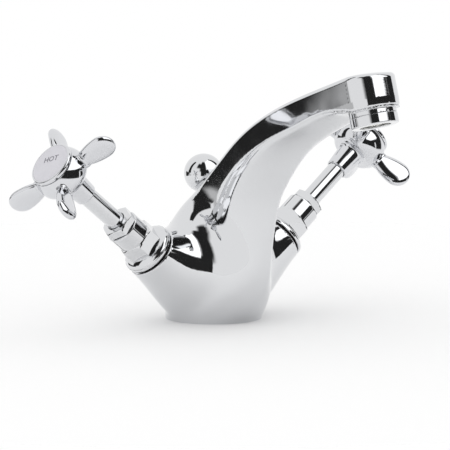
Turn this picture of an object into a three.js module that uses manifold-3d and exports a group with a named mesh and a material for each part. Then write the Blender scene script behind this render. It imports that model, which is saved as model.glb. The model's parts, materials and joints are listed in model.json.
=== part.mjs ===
// Two-handle basin mixer tap, cast in one piece with its fixed spout.
// Millimetres, +Z up. The origin is the middle of the base on the deck, the spout points along -Y,
// the hot valve is on -X and the cold valve on +X.
import * as THREE from 'three';
import { LoftGeometry } from 'three/addons/geometries/LoftGeometry.js';
import { mergeVertices } from 'three/addons/utils/BufferGeometryUtils.js';
import Module from 'manifold-3d';

// ---------------------------------------------------------------- driving dimensions
const gap = 0.3; // between pieces that touch
const bury = 1; // how far a cutter runs past the face that it opens

const baseDiameter = 50;
const sealInset = 2.6; // base edge to seal
const sealWidth = 3;
const sealThickness = 1.7;

const valveAngle = 38.2; // valve axis above the horizontal
const valveDatumHeight = 5.2; // where the two valve axes meet
const armReach = 52.7; // arm end face, measured along the valve axis
const armRadius = 14;
const armBore = 10; // valve thread bore
const waterwayRadius = 11.3; // annular chamber around the valve
const chamberLength = 7;
const seatDepth = 17; // seat face below the arm end face
const seatPassage = 5.4;
const inletBore = 4.8;
const inletSpacing = 12.5; // each inlet from the middle plane
const inletSetback = -3; // y of the inlets
const crossBore = 4;
const studBore = 4; // blind hole for the fixing stud
const studDepth = 14;
const studForward = 12.5;

const mixingBore = 6;
const noseRadius = 14.3;
const noseHeight = 18.4;
const noseTilt = 17; // outlet axis from the vertical, spraying forward
const noseDome = 1.6;
const outletReach = 126.4; // middle of the outlet, forward of the base axis
const outletHeight = 109.9;
const collarRadius = 12;
const bossHeight = 2.6; // cast boss under the nose
const aeratorRing = 5.1; // visible height of the aerator housing
const aeratorThread = 10.6;
const aeratorThreadLength = 6;
const aeratorWall = 1.3;
const insertHeight = 9.6;
const nozzleRadius = 1;
const nozzlePitch = 3.5;
const aeratorWasherThickness = 1.6;
const outletThroat = 7.6;
const noseRoof = 5.5; // casting left above the outlet throat

const rodRadius = 2.5;
const rodSetback = 8.3; // y of the lift rod
const rodFoot = 2.5; // rod end above the deck
const rodClearance = 1; // around the rod where it leaves the casting
const bushRadius = 4.8;
const bushLength = 14;
const bushRoof = 5.6; // casting left above the bush
const knobRadius = 10.1;
const knobClearance = 0.8; // between the ball and the sloping back
const knobNeckRadius = 3.8;
const knobNeckDrop = 11.4; // neck end below the ball centre
const knobSocketDepth = 9;

const jointWasher = 0.9;
const flangeRadius = 13.8;
const flangeHeight = 4.4;
const hexFlats = 18.4;
const hexHeight = 7;
const barrelRadius = 9;
const barrelLength = 10.6;
const threadRadius = 9.7;
const discChamber = 8.6;
const windowWidth = 9;
const windowHeight = 4;
const glandFlats = 15.6;
const glandHeight = 4.5;
const glandSpigot = 6.8;
const glandSpigotLength = 2.5;
const packingThickness = 3.6;

const stemRadius = 4.85;
const stemLength = 24; // seen between gland nut and handle
const driveSquare = 6.2;
const driveLength = 6;
const spindleHeadRadius = 8.2;
const spindleHeadHeight = 2.5;
const tangWidth = 2.8;
const tangLength = 11;
const tangDepth = 1.4;
const screwRadius = 1.9;
const screwLength = 9;
const screwHead = 3.9;
const screwHeadHeight = 2.6;
const screwedWeb = 2.2; // web between the square and the screw head

const sealRubber = 1.7;
const discRadius = 8.3;
const discThickness = 3;
const portInner = 3;
const portOuter = 6.8;
const portSweep = 70;
const seatSealInner = 6.1;
const sealShow = 0.6; // seal standing out below the bonnet

const skirtLength = 12.6;
const skirtFootRadius = 5.9;
const skirtTopRadius = 7.1;
const hubHeight = 13.6;
const hubRadius = 14.2; // at its widest, level with the lobes
const hubFootRadius = 10.5;
const hubShoulder = 0.1; // from the index cap in to the hub
const recessDepth = 5; // hollow under the index cap
const handleRecess = 8.4;
const lobeReach = 33;
const lobeHeight = 14.2;
const lobeThickness = 5;
const lobeRise = 6.6; // lobe mid height above the skirt top
const rootReach = 15;
const rootHeight = 9.8;
const rootThickness = 6;
const capRadius = 12.2;
const capHeight = 2.1;
const capSpigotLength = 2.6;
const capSpigotWall = 1.2;
const capRim = 1.3; // width of the bright rim around the index disc
const indexThickness = 1.3;

// ---------------------------------------------------------------- materials
const finish = (name, color, roughness, metalness) =>
  Object.assign(new THREE.MeshStandardMaterial({ color, roughness, metalness }), { name });
const chrome = () => finish('chrome', 0xd8dadc, 0.05, 1);
const steel = () => finish('stainless_steel', 0xb4b6b8, 0.3, 1);
const rubber = () => finish('rubber', 0x1c1c1d, 0.8, 0);
const fibre = () => finish('fibre', 0x4a3f38, 0.8, 0);
const nylon = () => finish('nylon', 0xe6e6e2, 0.5, 0);
const ceramic = () => finish('ceramic', 0xf2f0ea, 0.25, 0);
const enamel = () => finish('enamel', 0xd9d9dc, 0.2, 0);

// ---------------------------------------------------------------- solids
const wasm = await Module();
wasm.setup();

const radians = THREE.MathUtils.degToRad;

function solid(geometry) {
  const bare = geometry.index ? geometry.toNonIndexed() : geometry.clone();
  bare.deleteAttribute('normal');
  bare.deleteAttribute('uv');
  const merged = mergeVertices(bare, 1e-4);
  const place = merged.getAttribute('position').array;
  const corners = merged.index.array;
  const kept = [];
  let volume = 0;
  for (let i = 0; i < corners.length; i += 3) {
    const [a, b, c] = [corners[i], corners[i + 1], corners[i + 2]];
    if (a === b || b === c || c === a) continue;
    kept.push(a, b, c);
    const [p, q, r] = [a, b, c].map((k) => new THREE.Vector3().fromArray(place, 3 * k));
    volume += p.dot(q.cross(r));
  }
  if (volume < 0) kept.reverse();
  const mesh = new wasm.Mesh({
    numProp: 3,
    vertProperties: new Float32Array(place),
    triVerts: new Uint32Array(kept),
  });
  return new wasm.Manifold(mesh);
}

function geometryOf(manifold) {
  const mesh = manifold.getMesh();
  const geometry = new THREE.BufferGeometry();
  geometry.setAttribute('position', new THREE.BufferAttribute(new Float32Array(mesh.vertProperties), 3));
  geometry.setIndex(new THREE.BufferAttribute(new Uint32Array(mesh.triVerts), 1));
  geometry.computeVertexNormals();
  return geometry;
}

// A turned piece about +Z from its closed profile of [radius, height] points.
function turned(profile, segments = 24) {
  const loop = [...profile, profile[0]].map(([r, z]) => new THREE.Vector2(r, z));
  return new THREE.LatheGeometry(loop, segments).rotateX(Math.PI / 2);
}

const tube = (inner, outer, from, to, segments) =>
  turned([[inner, from], [outer, from], [outer, to], [inner, to]], segments);

const rod = (radius, from, to, segments) =>
  turned([[0, from], [radius, from], [radius, to], [0, to]], segments);

function block(width, depth, from, to) {
  return new THREE.BoxGeometry(width, depth, to - from).translate(0, 0, (from + to) / 2);
}

// A hexagonal prism about +Z with its top edges turned off at 30 degrees.
function hexagon(flats, from, to, chamfer) {
  const corner = flats / Math.sqrt(3);
  const prism = solid(rod(corner, from, to, 6).rotateZ(Math.PI / 6));
  const outside = corner + bury;
  const drop = (outside - flats / 2 + chamfer) * Math.tan(radians(30));
  const envelope = turned([
    [0, from],
    [outside, from],
    [outside, to - drop],
    [flats / 2 - chamfer, to],
    [0, to],
  ], 24);
  return prism.intersect(solid(envelope));
}

// ---------------------------------------------------------------- frames
const valveAxis = (side) => new THREE.Matrix4()
  .makeTranslation(0, 0, valveDatumHeight)
  .multiply(new THREE.Matrix4().makeRotationY(side * radians(90 - valveAngle)));
const outletAxis = new THREE.Matrix4()
  .makeTranslation(0, -outletReach, outletHeight)
  .multiply(new THREE.Matrix4().makeRotationX(-radians(noseTilt)));

const valvePoint = (side, along) => new THREE.Vector3(0, 0, along).applyMatrix4(valveAxis(side));
const outletPoint = (radial, along) => new THREE.Vector3(0, radial, along).applyMatrix4(outletAxis);

const tap = new THREE.Group();
const outlet = new THREE.Group();
outlet.applyMatrix4(outletAxis);
tap.add(outlet);

function add(parent, name, geometry, material) {
  const mesh = new THREE.Mesh(geometry, material);
  mesh.name = name;
  parent.add(mesh);
  return mesh;
}

// ---------------------------------------------------------------- body casting
// The column and spout are one loft. Each station is a flat section between a point of the back
// ridge and a point of the front keel, each given as shares of the outlet's reach and height. It
// has a crowned back, rounded corners, side walls down to a crease, and flanks that close on the
// keel. Low down the section turns into the base circle.
const baseRadius = baseDiameter / 2;
const noseFoot = bossHeight + aeratorRing + gap;
const noseTop = noseFoot + noseHeight;
const foot = baseRadius / outletReach;
const footRim = 0.013;
const stations = [
  { ridge: [foot, 0], keel: [-foot, 0], fin: 0, crease: 0.5, corner: 8 },
  { ridge: [foot, footRim], keel: [-foot, footRim], fin: 0, crease: 0.5, corner: 8 },
  { ridge: [0.196, 0.082], keel: [-0.249, 0.073], fin: 0.2, crease: 0.5, corner: 8 },
  { ridge: [0.184, 0.182], keel: [-0.307, 0.155], fin: 0.45, crease: 0.5, corner: 8 },
  { ridge: [0.161, 0.291], keel: [-0.342, 0.25], fin: 0.7, crease: 0.5, corner: 7 },
  { ridge: [0.126, 0.419], keel: [-0.361, 0.373], fin: 0.9, crease: 0.5, corner: 6 },
  { ridge: [0.074, 0.518], keel: [-0.384, 0.5], fin: 1, crease: 0.5, corner: 5 },
  { ridge: [0.002, 0.606], keel: [-0.41, 0.597], fin: 1, crease: 0.47, corner: 4.6 },
  { ridge: [-0.081, 0.695], keel: [-0.453, 0.673], fin: 1, crease: 0.44, corner: 4.2 },
  { ridge: [-0.161, 0.779], keel: [-0.498, 0.739], fin: 1, crease: 0.45, corner: 3.8 },
  { ridge: [-0.252, 0.87], keel: [-0.559, 0.815], fin: 1, crease: 0.52, corner: 3.4 },
  { ridge: [-0.366, 0.958], keel: [-0.633, 0.881], fin: 1, crease: 0.61, corner: 3 },
  { ridge: [-0.494, 1.035], keel: [-0.72, 0.934], fin: 1, crease: 0.68, corner: 2.7 },
  { ridge: [-0.633, 1.103], keel: [-0.807, 0.981], fin: 1, crease: 0.68, corner: 2.4 },
  { ridge: [-0.775, 1.163], keel: [-0.889, 1.03], fin: 1, crease: 0.76, corner: 2.1 },
];
const onBody = ([out, up]) => new THREE.Vector3(0, out * outletReach, up * outletHeight);
const bandHalfWidth = noseRadius;
const bandCrown = 1.1;
const keelRadius = 2.2;
const roundAngles = [0, 20, 36, 50, 64, 76, 92, 110, 125, 140, 155, 168, 180];

function finOutline(length, crease, corner) {
  const points = [[0, 0], [0.5 * (bandHalfWidth - corner), 0.25 * bandCrown]];
  for (let i = 0; i < 4; i += 1) {
    const turn = radians(90 - 30 * i);
    points.push([
      bandHalfWidth - corner + corner * Math.cos(turn),
      bandCrown + corner - corner * Math.sin(turn),
    ]);
  }
  const creaseAt = crease * length;
  points.push([bandHalfWidth, creaseAt]);
  const flankEnd = [0.9 * keelRadius, length - keelRadius];
  for (const share of [0.25, 0.5, 0.75]) {
    const bulge = 1.4 * Math.sin(Math.PI * share);
    points.push([
      THREE.MathUtils.lerp(bandHalfWidth, flankEnd[0], share) + bulge * 0.6,
      THREE.MathUtils.lerp(creaseAt, flankEnd[1], share) + bulge * 0.6,
    ]);
  }
  points.push(flankEnd, [0.6 * keelRadius, length - 0.3 * keelRadius], [0, length]);
  return points;
}

function stationSection({ ridge, keel, fin, crease, corner }) {
  const from = onBody(ridge);
  const across = onBody(keel).sub(from);
  const length = across.length();
  across.normalize();
  const half = finOutline(length, crease, corner).map(([x, u], i) => {
    const turn = radians(roundAngles[i]);
    const round = [Math.sin(turn) * length / 2, (1 - Math.cos(turn)) * length / 2];
    const [wide, deep] = [THREE.MathUtils.lerp(round[0], x, fin), THREE.MathUtils.lerp(round[1], u, fin)];
    return from.clone().addScaledVector(across, deep).setX(wide);
  });
  const other = half.slice(1, -1).map((p) => p.clone().setX(-p.x));
  return [...half.reverse(), ...other];
}

const noseRidge = outletPoint(0, noseTop);
const noseKeel = outletPoint(0, noseFoot);
const noseStation = {
  ridge: [noseRidge.y / outletReach, noseRidge.z / outletHeight],
  keel: [noseKeel.y / outletReach, noseKeel.z / outletHeight],
  fin: 1,
  crease: 0.9,
  corner: 1.8,
};

// Each arm is a loft of ovals. It runs from the round end face down to a root inside the column.
// Its top and foot lines sag from straight, and its half width grows, as it goes in.
const armEnd = valvePoint(1, armReach);
const armNormal = new THREE.Vector3(-Math.sin(radians(valveAngle)), 0, Math.cos(radians(valveAngle)));
const armTop = armEnd.clone().addScaledVector(armNormal, armRadius);
const armFoot = armEnd.clone().addScaledVector(armNormal, -armRadius);
const rootTop = new THREE.Vector3(5, 0, 58);
const rootFoot = new THREE.Vector3(9, 0, 0.5);
const armStations = [
  { share: 0, topSag: 0, footSag: 0, grow: 0 },
  { share: 0.135, topSag: 1.1, footSag: 1.7, grow: 0.6 },
  { share: 0.3, topSag: 1.7, footSag: 4.4, grow: 1.6 },
  { share: 0.46, topSag: 1.2, footSag: 7.3, grow: 3 },
  { share: 0.62, topSag: 0, footSag: 8.6, grow: 4.4 },
  { share: 1, topSag: 0, footSag: 0, grow: 5 },
];
const armSides = 24;

function arm(side) {
  const sections = armStations.map(({ share, topSag, footSag, grow }) => {
    const top = armTop.clone().lerp(rootTop, share);
    const low = armFoot.clone().lerp(rootFoot, share);
    top.z -= topSag;
    low.z -= footSag;
    return Array.from({ length: armSides }, (unused, i) => {
      const turn = (2 * Math.PI * side * i) / armSides;
      const point = top.clone().lerp(low, (1 - Math.cos(turn)) / 2);
      return point.setX(side * point.x).setY((armRadius + grow) * Math.sin(turn));
    });
  });
  const loft = new LoftGeometry(sections, { closed: true, capStart: true, capEnd: true });
  const below = block(4 * armReach, 4 * armReach, -2 * armReach, 0);
  return solid(loft).subtract(solid(below));
}

function straightBore(radius, start, end, segments = 8) {
  const path = new THREE.LineCurve3(start, end);
  const circle = new THREE.Shape().absarc(0, 0, radius, 0, 2 * Math.PI);
  const settings = { steps: 1, curveSegments: segments, extrudePath: path };
  return solid(new THREE.ExtrudeGeometry(circle, settings));
}

const seatAt = armReach - seatDepth;
const chamberTop = armReach - 3.4;
const mixingFoot = onBody([-0.135, 0.237]);
const crossMeeting = onBody([-0.146, 0.364]);
const spoutPath = new THREE.CatmullRomCurve3([
  mixingFoot,
  onBody([-0.15, 0.4]),
  onBody([-0.198, 0.564]),
  onBody([-0.301, 0.746]),
  onBody([-0.459, 0.901]),
  onBody([-0.665, 1.019]),
  onBody([-0.854, 1.101]),
  outletPoint(0, noseTop - noseRoof - 1),
]);

// Where the lift rod comes out of the back: its height, and the ball's height clear of the slope.
const ridgeLine = stations.map(({ ridge }) => onBody(ridge));
const behind = ridgeLine.findLastIndex((point) => point.y > rodSetback);
const [slopeFoot, slopeHead] = [ridgeLine[behind], ridgeLine[behind + 1]];
const slopeShare = (slopeFoot.y - rodSetback) / (slopeFoot.y - slopeHead.y);
const rodExit = THREE.MathUtils.lerp(slopeFoot.z, slopeHead.z, slopeShare);
const slopeLean = (slopeFoot.y - slopeHead.y) / slopeFoot.distanceTo(slopeHead);
const knobHeight = rodExit + (knobRadius + knobClearance) / slopeLean;
const bushTop = rodExit - bushRadius - bushRoof;

const sealOuter = baseRadius - sealInset;
const sealInner = sealOuter - sealWidth;

function bodyCasting() {
  const columnSections = [...stations, noseStation].map(stationSection);
  let body = solid(new LoftGeometry(columnSections, { closed: true, capStart: true, capEnd: true }));
  const nose = turned([
    [0, noseFoot],
    [noseRadius, noseFoot],
    [noseRadius, noseTop - noseDome - 1.2],
    [noseRadius - 1.2, noseTop - noseDome],
    [noseRadius / 2, noseTop - 0.4 * noseDome],
    [0, noseTop],
  ], 32).applyMatrix4(outletAxis);
  const boss = rod(collarRadius - 0.1, noseFoot - bossHeight, noseFoot + bury, 28);
  body = body.add(solid(nose)).add(solid(boss.applyMatrix4(outletAxis)));
  body = body.add(arm(-1)).add(arm(1));

  for (const side of [-1, 1]) {
    const frame = valveAxis(side);
    const valveBore = rod(armBore, seatAt, armReach + bury, 24).applyMatrix4(frame);
    const chamber = rod(waterwayRadius, chamberTop - chamberLength, chamberTop, 24).applyMatrix4(frame);
    const inletTop = new THREE.Vector3(side * inletSpacing, inletSetback, valvePoint(side, seatAt).z - 8);
    body = body.subtract(solid(valveBore)).subtract(solid(chamber));
    body = body.subtract(straightBore(seatPassage, valvePoint(side, seatAt + bury), valvePoint(side, 20)));
    body = body.subtract(straightBore(inletBore, inletTop.clone().setZ(-bury), inletTop));
    const chamberSide = valvePoint(side, chamberTop - chamberLength / 2).setY(-armBore + 2);
    body = body.subtract(straightBore(crossBore, chamberSide, crossMeeting));
  }
  const bore = new THREE.Shape().absarc(0, 0, mixingBore, 0, 2 * Math.PI);
  const mixing = new THREE.ExtrudeGeometry(bore, { steps: 12, curveSegments: 8, extrudePath: spoutPath });
  body = body.subtract(solid(mixing));

  const throat = rod(outletThroat, noseFoot, noseTop - noseRoof, 24);
  const thread = rod(
    aeratorThread + gap,
    noseFoot - bossHeight - bury,
    noseFoot - bossHeight - gap + aeratorThreadLength + aeratorWasherThickness + 2 * gap,
    28,
  );
  body = body.subtract(solid(throat.applyMatrix4(outletAxis)));
  body = body.subtract(solid(thread.applyMatrix4(outletAxis)));

  const bushSeat = rod(bushRadius + gap, -bury, bushTop + gap, 20).translate(0, rodSetback, 0);
  const rodHole = rod(rodRadius + rodClearance, -bury, knobHeight, 20).translate(0, rodSetback, 0);
  const studHole = rod(studBore, -bury, studDepth, 16).translate(0, -studForward, 0);
  body = body.subtract(solid(bushSeat)).subtract(solid(rodHole)).subtract(solid(studHole));
  const groove = tube(sealInner - gap, sealOuter + gap, -bury, sealThickness + gap, 36);
  return body.subtract(solid(groove));
}

add(tap, 'body_casting', geometryOf(bodyCasting()), chrome());
add(tap, 'base_seal', tube(sealInner, sealOuter, 0, sealThickness, 36), rubber());

// ---------------------------------------------------------------- outlet
const housingTop = aeratorRing + aeratorThreadLength;
const insertRadius = aeratorThread - aeratorWall - gap;
const insertFoot = 1.2;
const lip = 1.2;
add(outlet, 'aerator_housing', turned([
  [insertRadius - lip, 0],
  [collarRadius - 0.5, 0],
  [collarRadius, 0.5],
  [collarRadius, aeratorRing],
  [aeratorThread, aeratorRing],
  [aeratorThread, housingTop],
  [insertRadius + gap, housingTop],
  [insertRadius + gap, insertFoot - gap],
  [insertRadius - lip, insertFoot - gap],
], 28), chrome());

function aeratorInsert() {
  let disc = solid(rod(insertRadius, insertFoot, insertFoot + insertHeight, 24));
  const rows = 2;
  for (let q = -rows; q <= rows; q += 1) {
    for (let r = Math.max(-rows, -q - rows); r <= Math.min(rows, -q + rows); r += 1) {
      const x = nozzlePitch * (q + r / 2);
      const y = nozzlePitch * (r * Math.sqrt(3)) / 2;
      const hole = rod(nozzleRadius, insertFoot - bury, insertFoot + insertHeight + bury, 6);
      disc = disc.subtract(solid(hole.translate(x, y, 0)));
    }
  }
  return disc;
}

add(outlet, 'aerator_insert', geometryOf(aeratorInsert()), nylon());
const washerFoot = housingTop + gap;
add(
  outlet,
  'aerator_washer',
  tube(outletThroat, aeratorThread, washerFoot, washerFoot + aeratorWasherThickness, 24),
  rubber(),
);

// ---------------------------------------------------------------- pop-up lift rod
const rodTop = knobHeight - knobNeckDrop + knobSocketDepth;
const lift = new THREE.Group();
lift.position.set(0, rodSetback, 0);
tap.add(lift);
const bushBore = rodRadius + gap;
add(lift, 'rod_bush', tube(bushBore, bushRadius, bushTop - bushLength, bushTop, 20), nylon());
add(lift, 'lift_rod', rod(rodRadius, rodFoot, rodTop, 16), steel());

function knobProfile() {
  const points = [
    [0, rodTop + gap],
    [rodRadius + gap, rodTop + gap],
    [rodRadius + gap, knobHeight - knobNeckDrop],
    [knobNeckRadius, knobHeight - knobNeckDrop],
    [knobNeckRadius, knobHeight - knobRadius + 0.4],
  ];
  for (let i = 0; i <= 8; i += 1) {
    const turn = radians(-62 + (152 * i) / 8);
    points.push([knobRadius * Math.cos(turn), knobHeight + knobRadius * Math.sin(turn)]);
  }
  points[points.length - 1][0] = 0;
  return points;
}

add(lift, 'lift_knob', turned(knobProfile(), 24), chrome());

// ---------------------------------------------------------------- valves
const washerAt = armReach + gap;
const flangeAt = washerAt + jointWasher + gap;
const hexAt = flangeAt + flangeHeight;
const barrelAt = hexAt + hexHeight;
const barrelTop = barrelAt + barrelLength;
const glandAt = barrelTop + gap;
const glandTop = glandAt + glandHeight;
const skirtFoot = glandTop + stemLength;
const skirtTop = skirtFoot + skirtLength;
const hubTop = skirtTop + hubHeight;
const capFoot = hubTop + gap;
const webTop = hubTop - recessDepth;
const sealAt = seatAt + gap;
const lowerDiscAt = sealAt + sealRubber + gap;
const upperDiscAt = lowerDiscAt + discThickness + gap;
const slotFloor = upperDiscAt + discThickness - tangDepth - gap;
const headAt = upperDiscAt + discThickness + windowHeight;
const headTop = headAt + spindleHeadHeight;
const chamberRoof = headTop + gap;
const packingTop = barrelTop - glandSpigotLength - gap;
const packingFoot = packingTop - packingThickness;
const spindleTop = webTop - screwedWeb;
const squareFoot = spindleTop - driveLength;

function bonnet() {
  const flange = solid(turned([
    [0, flangeAt],
    [flangeRadius - 0.3, flangeAt],
    [flangeRadius, flangeAt + 0.5],
    [flangeRadius - 0.3, flangeAt + 1.4],
    [flangeRadius - 1.2, flangeAt + 2.8],
    [hexFlats / Math.sqrt(3), hexAt],
    [0, hexAt],
  ], 28));
  const shank = solid(rod(threadRadius, sealAt + sealShow, flangeAt + bury, 24));
  const barrel = solid(rod(barrelRadius, barrelAt - bury, barrelTop, 24));
  let piece = flange.add(hexagon(hexFlats, hexAt - bury, barrelAt + 1.4, 0)).add(shank).add(barrel);
  piece = piece.subtract(solid(rod(discChamber, seatAt - bury, chamberRoof, 24)));
  piece = piece.subtract(solid(rod(stemRadius + gap, chamberRoof - bury, barrelTop + bury, 24)));
  piece = piece.subtract(solid(rod(glandSpigot + gap, packingFoot - gap, barrelTop + bury, 24)));
  const windowFoot = upperDiscAt + discThickness - 0.5;
  return piece.subtract(solid(block(windowWidth, 3 * threadRadius, windowFoot, windowFoot + windowHeight)));
}

function glandNut() {
  const head = hexagon(glandFlats, glandAt, glandTop, 0.2);
  const spigot = solid(rod(glandSpigot, glandAt - gap - glandSpigotLength, glandAt + bury, 24));
  return head.add(spigot).subtract(solid(rod(stemRadius + gap, packingTop - bury, glandTop + bury, 24)));
}

function spindle() {
  const shaft = solid(rod(stemRadius, headTop - bury, squareFoot, 24));
  const head = solid(rod(spindleHeadRadius, headAt, headTop, 24));
  const neck = solid(rod(3.2, upperDiscAt + discThickness + gap, headAt + bury, 20));
  const tang = solid(block(tangLength, tangWidth, slotFloor + gap, upperDiscAt + discThickness + 1.6));
  const square = solid(block(driveSquare, driveSquare, squareFoot - bury, spindleTop));
  const hole = solid(rod(screwRadius + gap, webTop - screwLength - 1, spindleTop + bury, 16));
  return shaft.add(head).add(neck).add(tang).add(square).subtract(hole);
}

// A fan-shaped water port through a ceramic disc.
function port(from, to, middle) {
  const shape = new THREE.Shape();
  const [start, end] = [radians(middle - portSweep / 2), radians(middle + portSweep / 2)];
  shape.absarc(0, 0, portOuter, start, end, false);
  shape.absarc(0, 0, portInner, end, start, true);
  const settings = { depth: to - from, bevelEnabled: false, curveSegments: 6 };
  return solid(new THREE.ExtrudeGeometry(shape, settings).translate(0, 0, from));
}

function valveDisc(from, turn, slot) {
  const to = from + discThickness;
  let disc = solid(rod(discRadius, from, to, 24));
  for (const middle of [turn, turn + 180]) {
    disc = disc.subtract(port(from - bury, to + bury, middle));
  }
  if (!slot) return disc;
  return disc.subtract(solid(block(tangLength + 2 * gap, tangWidth + 2 * gap, slotFloor, to + bury)));
}

// One arm of the crosshead: a paddle that stands along the stem axis on a square root.
const lobeSteps = [
  { out: rootReach - 3, height: rootHeight - 1.2, thick: 0.9 },
  { out: rootReach + 0.4, height: rootHeight - 0.2, thick: 0.94 },
  { out: lobeReach - 13, height: lobeHeight - 1, thick: 1 },
  { out: lobeReach - 8, height: lobeHeight, thick: 1 },
  { out: lobeReach - 4.4, height: lobeHeight * 0.87, thick: 0.9 },
  { out: lobeReach - 1.7, height: lobeHeight * 0.6, thick: 0.66 },
  { out: lobeReach, height: lobeHeight * 0.24, thick: 0.3 },
];
const lobeSides = 10;

function lobe(middle) {
  const sections = lobeSteps.map(({ out, height, thick }) =>
    Array.from({ length: lobeSides }, (unused, i) => {
      const turn = (2 * Math.PI * i) / lobeSides;
      return new THREE.Vector3(
        out,
        Math.cos(turn) * thick * lobeThickness / 2,
        middle + Math.sin(turn) * height / 2,
      );
    }));
  return new LoftGeometry(sections, { closed: true, capStart: true, capEnd: true });
}

function crosshead() {
  const middle = skirtTop + lobeRise;
  const bulge = (edge, share) => hubRadius - (hubRadius - edge) * (1 - share) ** 2;
  const hub = turned([
    [0, skirtFoot],
    [skirtFootRadius - 0.4, skirtFoot],
    [skirtFootRadius, skirtFoot + 0.4],
    [skirtTopRadius, skirtTop],
    ...[0, 0.2, 0.45, 0.7, 1].map((share) =>
      [bulge(hubFootRadius, share), skirtTop + lobeRise * share]),
    ...[0.7, 0.45, 0.2, 0].map((share) =>
      [bulge(capRadius - hubShoulder, share), hubTop - (hubTop - middle) * share]),
    [0, hubTop],
  ], 24);
  let piece = solid(hub);
  for (const turn of [45, 135]) {
    const [low, high] = [middle - rootHeight / 2, middle + rootHeight / 2];
    const root = block(2 * rootReach, rootThickness, low, high);
    piece = piece.add(solid(root.rotateZ(radians(turn))));
    for (const end of [turn, turn + 180]) {
      piece = piece.add(solid(lobe(middle).rotateZ(radians(end))));
    }
  }
  piece = piece.subtract(solid(rod(stemRadius + gap, skirtFoot - bury, squareFoot + gap, 24)));
  const socket = driveSquare + 2 * gap;
  piece = piece.subtract(solid(block(socket, socket, squareFoot - bury, spindleTop + gap)));
  piece = piece.subtract(solid(rod(screwRadius + gap, spindleTop, hubTop, 16)));
  return piece.subtract(solid(rod(handleRecess, webTop, hubTop + bury, 28)));
}

const capTop = capFoot + capHeight;
const indexFoot = capTop - indexThickness;

function valve(side, label) {
  const frame = new THREE.Group();
  frame.applyMatrix4(valveAxis(side));
  tap.add(frame);
  const put = (name, geometry, material) => add(frame, `${label}_${name}`, geometry, material);
  put('joint_washer', tube(armBore + gap, flangeRadius - 1.1, washerAt, washerAt + jointWasher, 24), fibre());
  put('bonnet', geometryOf(bonnet()), chrome());
  put('gland_nut', geometryOf(glandNut()), chrome());
  put('gland_packing', tube(stemRadius + gap, glandSpigot - gap, packingFoot, packingTop, 24), rubber());
  put('spindle', geometryOf(spindle()), chrome());
  put('upper_disc', geometryOf(valveDisc(upperDiscAt, 90, true)), ceramic());
  put('lower_disc', geometryOf(valveDisc(lowerDiscAt, 0, false)), ceramic());
  put('seat_seal', tube(seatSealInner, discRadius, sealAt, sealAt + sealRubber, 24), rubber());
  put('crosshead', geometryOf(crosshead()), chrome());
  put('handle_screw', turned([
    [0, webTop + gap - screwLength],
    [screwRadius, webTop + gap - screwLength],
    [screwRadius, webTop + gap],
    [screwHead, webTop + gap],
    [screwHead, webTop + gap + screwHeadHeight],
    [0, webTop + gap + screwHeadHeight],
  ], 20), steel());
  const spigot = handleRecess - gap;
  put('index_cap', turned([
    [0, indexFoot - gap - 0.9],
    [spigot - capSpigotWall, indexFoot - gap - 0.9],
    [spigot - capSpigotWall, capFoot - capSpigotLength],
    [spigot, capFoot - capSpigotLength],
    [spigot, capFoot],
    [capRadius, capFoot],
    [capRadius, capTop - 0.6],
    [capRadius - 0.6, capTop],
    [capRadius - capRim, capTop],
    [capRadius - capRim, indexFoot - gap],
    [0, indexFoot - gap],
  ], 28), chrome());
  const indexRadius = capRadius - capRim - gap;
  put('index_disc', turned([
    [0, indexFoot],
    [indexRadius, indexFoot],
    [indexRadius, capTop - 0.2],
    [indexRadius * 0.6, capTop + 0.1],
    [0, capTop + 0.2],
  ], 28), enamel());
}

valve(-1, 'hot');
valve(1, 'cold');

export default tap;
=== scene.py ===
# A two-handle basin mixer tap in polished chrome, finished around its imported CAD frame.
# Metres in the scene; sizes are written in millimetres and turned by mm.
import json
import math

import bpy
import numpy as np
from mathutils import Matrix, Vector


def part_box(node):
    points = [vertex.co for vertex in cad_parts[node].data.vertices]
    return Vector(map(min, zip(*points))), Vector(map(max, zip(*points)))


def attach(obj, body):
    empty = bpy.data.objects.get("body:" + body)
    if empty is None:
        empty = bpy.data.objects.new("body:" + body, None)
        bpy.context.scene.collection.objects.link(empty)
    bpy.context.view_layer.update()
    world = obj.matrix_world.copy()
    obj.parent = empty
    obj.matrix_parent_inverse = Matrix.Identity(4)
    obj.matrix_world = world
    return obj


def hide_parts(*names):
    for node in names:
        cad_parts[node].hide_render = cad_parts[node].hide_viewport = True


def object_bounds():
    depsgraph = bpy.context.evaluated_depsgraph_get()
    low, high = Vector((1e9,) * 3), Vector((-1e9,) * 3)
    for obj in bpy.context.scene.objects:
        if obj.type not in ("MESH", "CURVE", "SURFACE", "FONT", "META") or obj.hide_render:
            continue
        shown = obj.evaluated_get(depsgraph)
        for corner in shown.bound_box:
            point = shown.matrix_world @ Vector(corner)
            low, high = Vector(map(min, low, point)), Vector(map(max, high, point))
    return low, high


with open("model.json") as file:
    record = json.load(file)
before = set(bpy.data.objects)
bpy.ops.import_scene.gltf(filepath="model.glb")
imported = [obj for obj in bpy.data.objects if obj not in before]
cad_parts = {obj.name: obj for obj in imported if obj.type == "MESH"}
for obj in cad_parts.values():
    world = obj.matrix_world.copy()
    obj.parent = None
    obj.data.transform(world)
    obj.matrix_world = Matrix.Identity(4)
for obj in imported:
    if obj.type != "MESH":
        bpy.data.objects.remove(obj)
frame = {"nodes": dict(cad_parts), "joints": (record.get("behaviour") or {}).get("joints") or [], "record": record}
cad_box = [list(corner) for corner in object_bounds()]
scene = bpy.context.scene
mm = 0.001

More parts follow.
